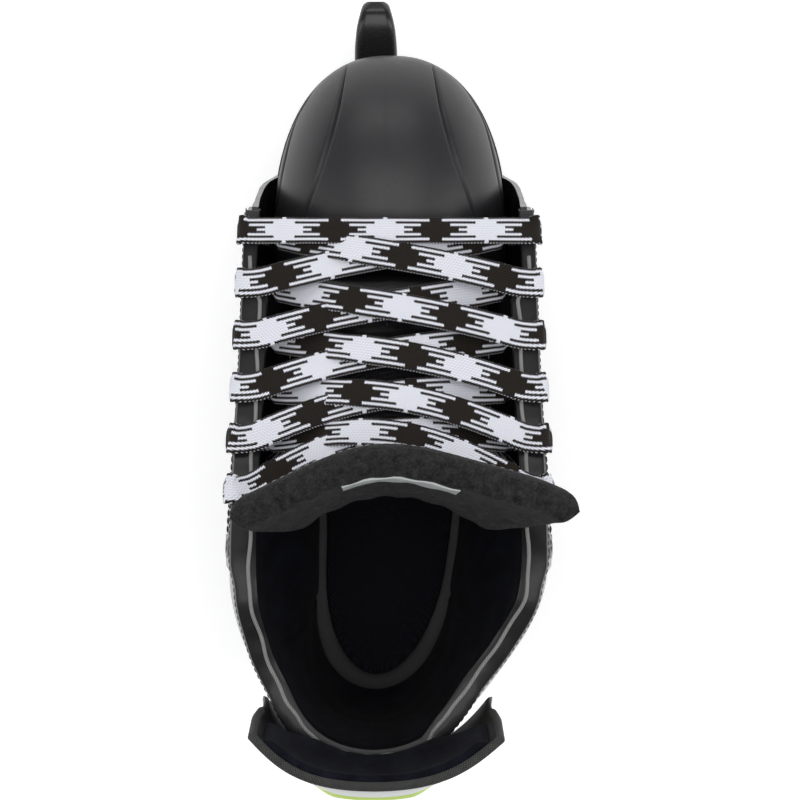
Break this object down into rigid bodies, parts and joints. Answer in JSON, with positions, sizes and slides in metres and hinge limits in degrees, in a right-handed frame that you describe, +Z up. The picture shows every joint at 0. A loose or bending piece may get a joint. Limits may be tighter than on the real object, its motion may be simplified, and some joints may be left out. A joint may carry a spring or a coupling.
{
  "type": "ice hockey skate",
  "caption": "Laced ice hockey skate for the right foot: padded boot with toe cap, tongue and tendon guard on a plastic holder with a steel runner.",
  "frame": {"origin": "middle of the runner's flat, on the ice", "axes": "+X forward to the toe, +Y to the inner (medial) side of the right foot, +Z up"},
  "size_m": [0.2983, 0.1297, 0.2624],
  "materials": {
    "sole_plastic": "fine-grained black moulding",
    "board": "pressed fibre board",
    "footbed_fabric": "dark knitted cover on foam",
    "toe_plastic": "fine-grained satin black moulding",
    "foam": "thin foam",
    "shell_plastic": "glossy black synthetic shell with fine crinkles",
    "lining_fabric": "brushed dark navy microfibre",
    "facing_leather": "glossy black synthetic leather, stitched",
    "eyelet_metal": "black-nickel plated eyelets",
    "binding_tape": "grey-black woven edge tape",
    "guard_plastic": "flexible black moulding",
    "accent": "yellow-green and white accent panel",
    "felt": "charcoal needled felt with light flecks",
    "tongue_cover": "glossy black synthetic leather, stitched",
    "label": "blank light grey satin label",
    "lace": "flat woven lace, black and white stepped diamonds",
    "aglet": "clear plastic tip",
    "holder_plastic": "black glass-filled nylon, satin to glossy",
    "runner_steel": "ground stainless steel",
    "bright_metal": "zinc-plated steel",
    "rivet_metal": "dull aluminium"
  },
  "bodies": {
    "boot": {"outsole": "sole_plastic", "insole_board": "board", "footbed": "footbed_fabric", "toe_cap": "toe_plastic", "toe_lining": "foam", "quarter_medial": "shell_plastic", "quarter_lateral": "shell_plastic", "back_stay": "shell_plastic", "foam_medial": "foam", "foam_lateral": "foam", "lining_medial": "lining_fabric", "lining_lateral": "lining_fabric", "facing_medial": "facing_leather", "facing_lateral": "facing_leather", "eyelets_medial": "eyelet_metal", "eyelets_lateral": "eyelet_metal", "binding_medial": "binding_tape", "binding_lateral": "binding_tape", "tongue_felt_lower": "felt", "tongue_cover_lower": "tongue_cover", "lace": "lace", "lace_end_medial": "lace", "lace_end_lateral": "lace", "aglet_medial": "aglet", "aglet_lateral": "aglet", "holder": "holder_plastic", "runner": "runner_steel", "runner_studs": "bright_metal", "runner_nuts": "bright_metal", "rivets_front": "rivet_metal", "rivets_rear": "rivet_metal"},
    "tongue_top": {"tongue_felt_upper": "felt", "tongue_cover_upper": "tongue_cover", "tongue_label": "label"},
    "guard": {"tendon_guard": "guard_plastic", "guard_lining": "lining_fabric", "guard_panel": "accent"}
  },
  "joints": [
    {"name": "tongue_flex", "type": "hinge", "parent": "boot", "child": "tongue_top", "pos_m": [-0.016, -0.006, 0.194], "axis": [0, 1, 0], "range_deg": [-4, 30]},
    {"name": "tendon_guard_flex", "type": "hinge", "parent": "boot", "child": "guard", "pos_m": [-0.112, 0, 0.192], "axis": [0, -1, 0], "range_deg": [0, 12], "stiffness_Nm_per_rad": 3}
  ]
}
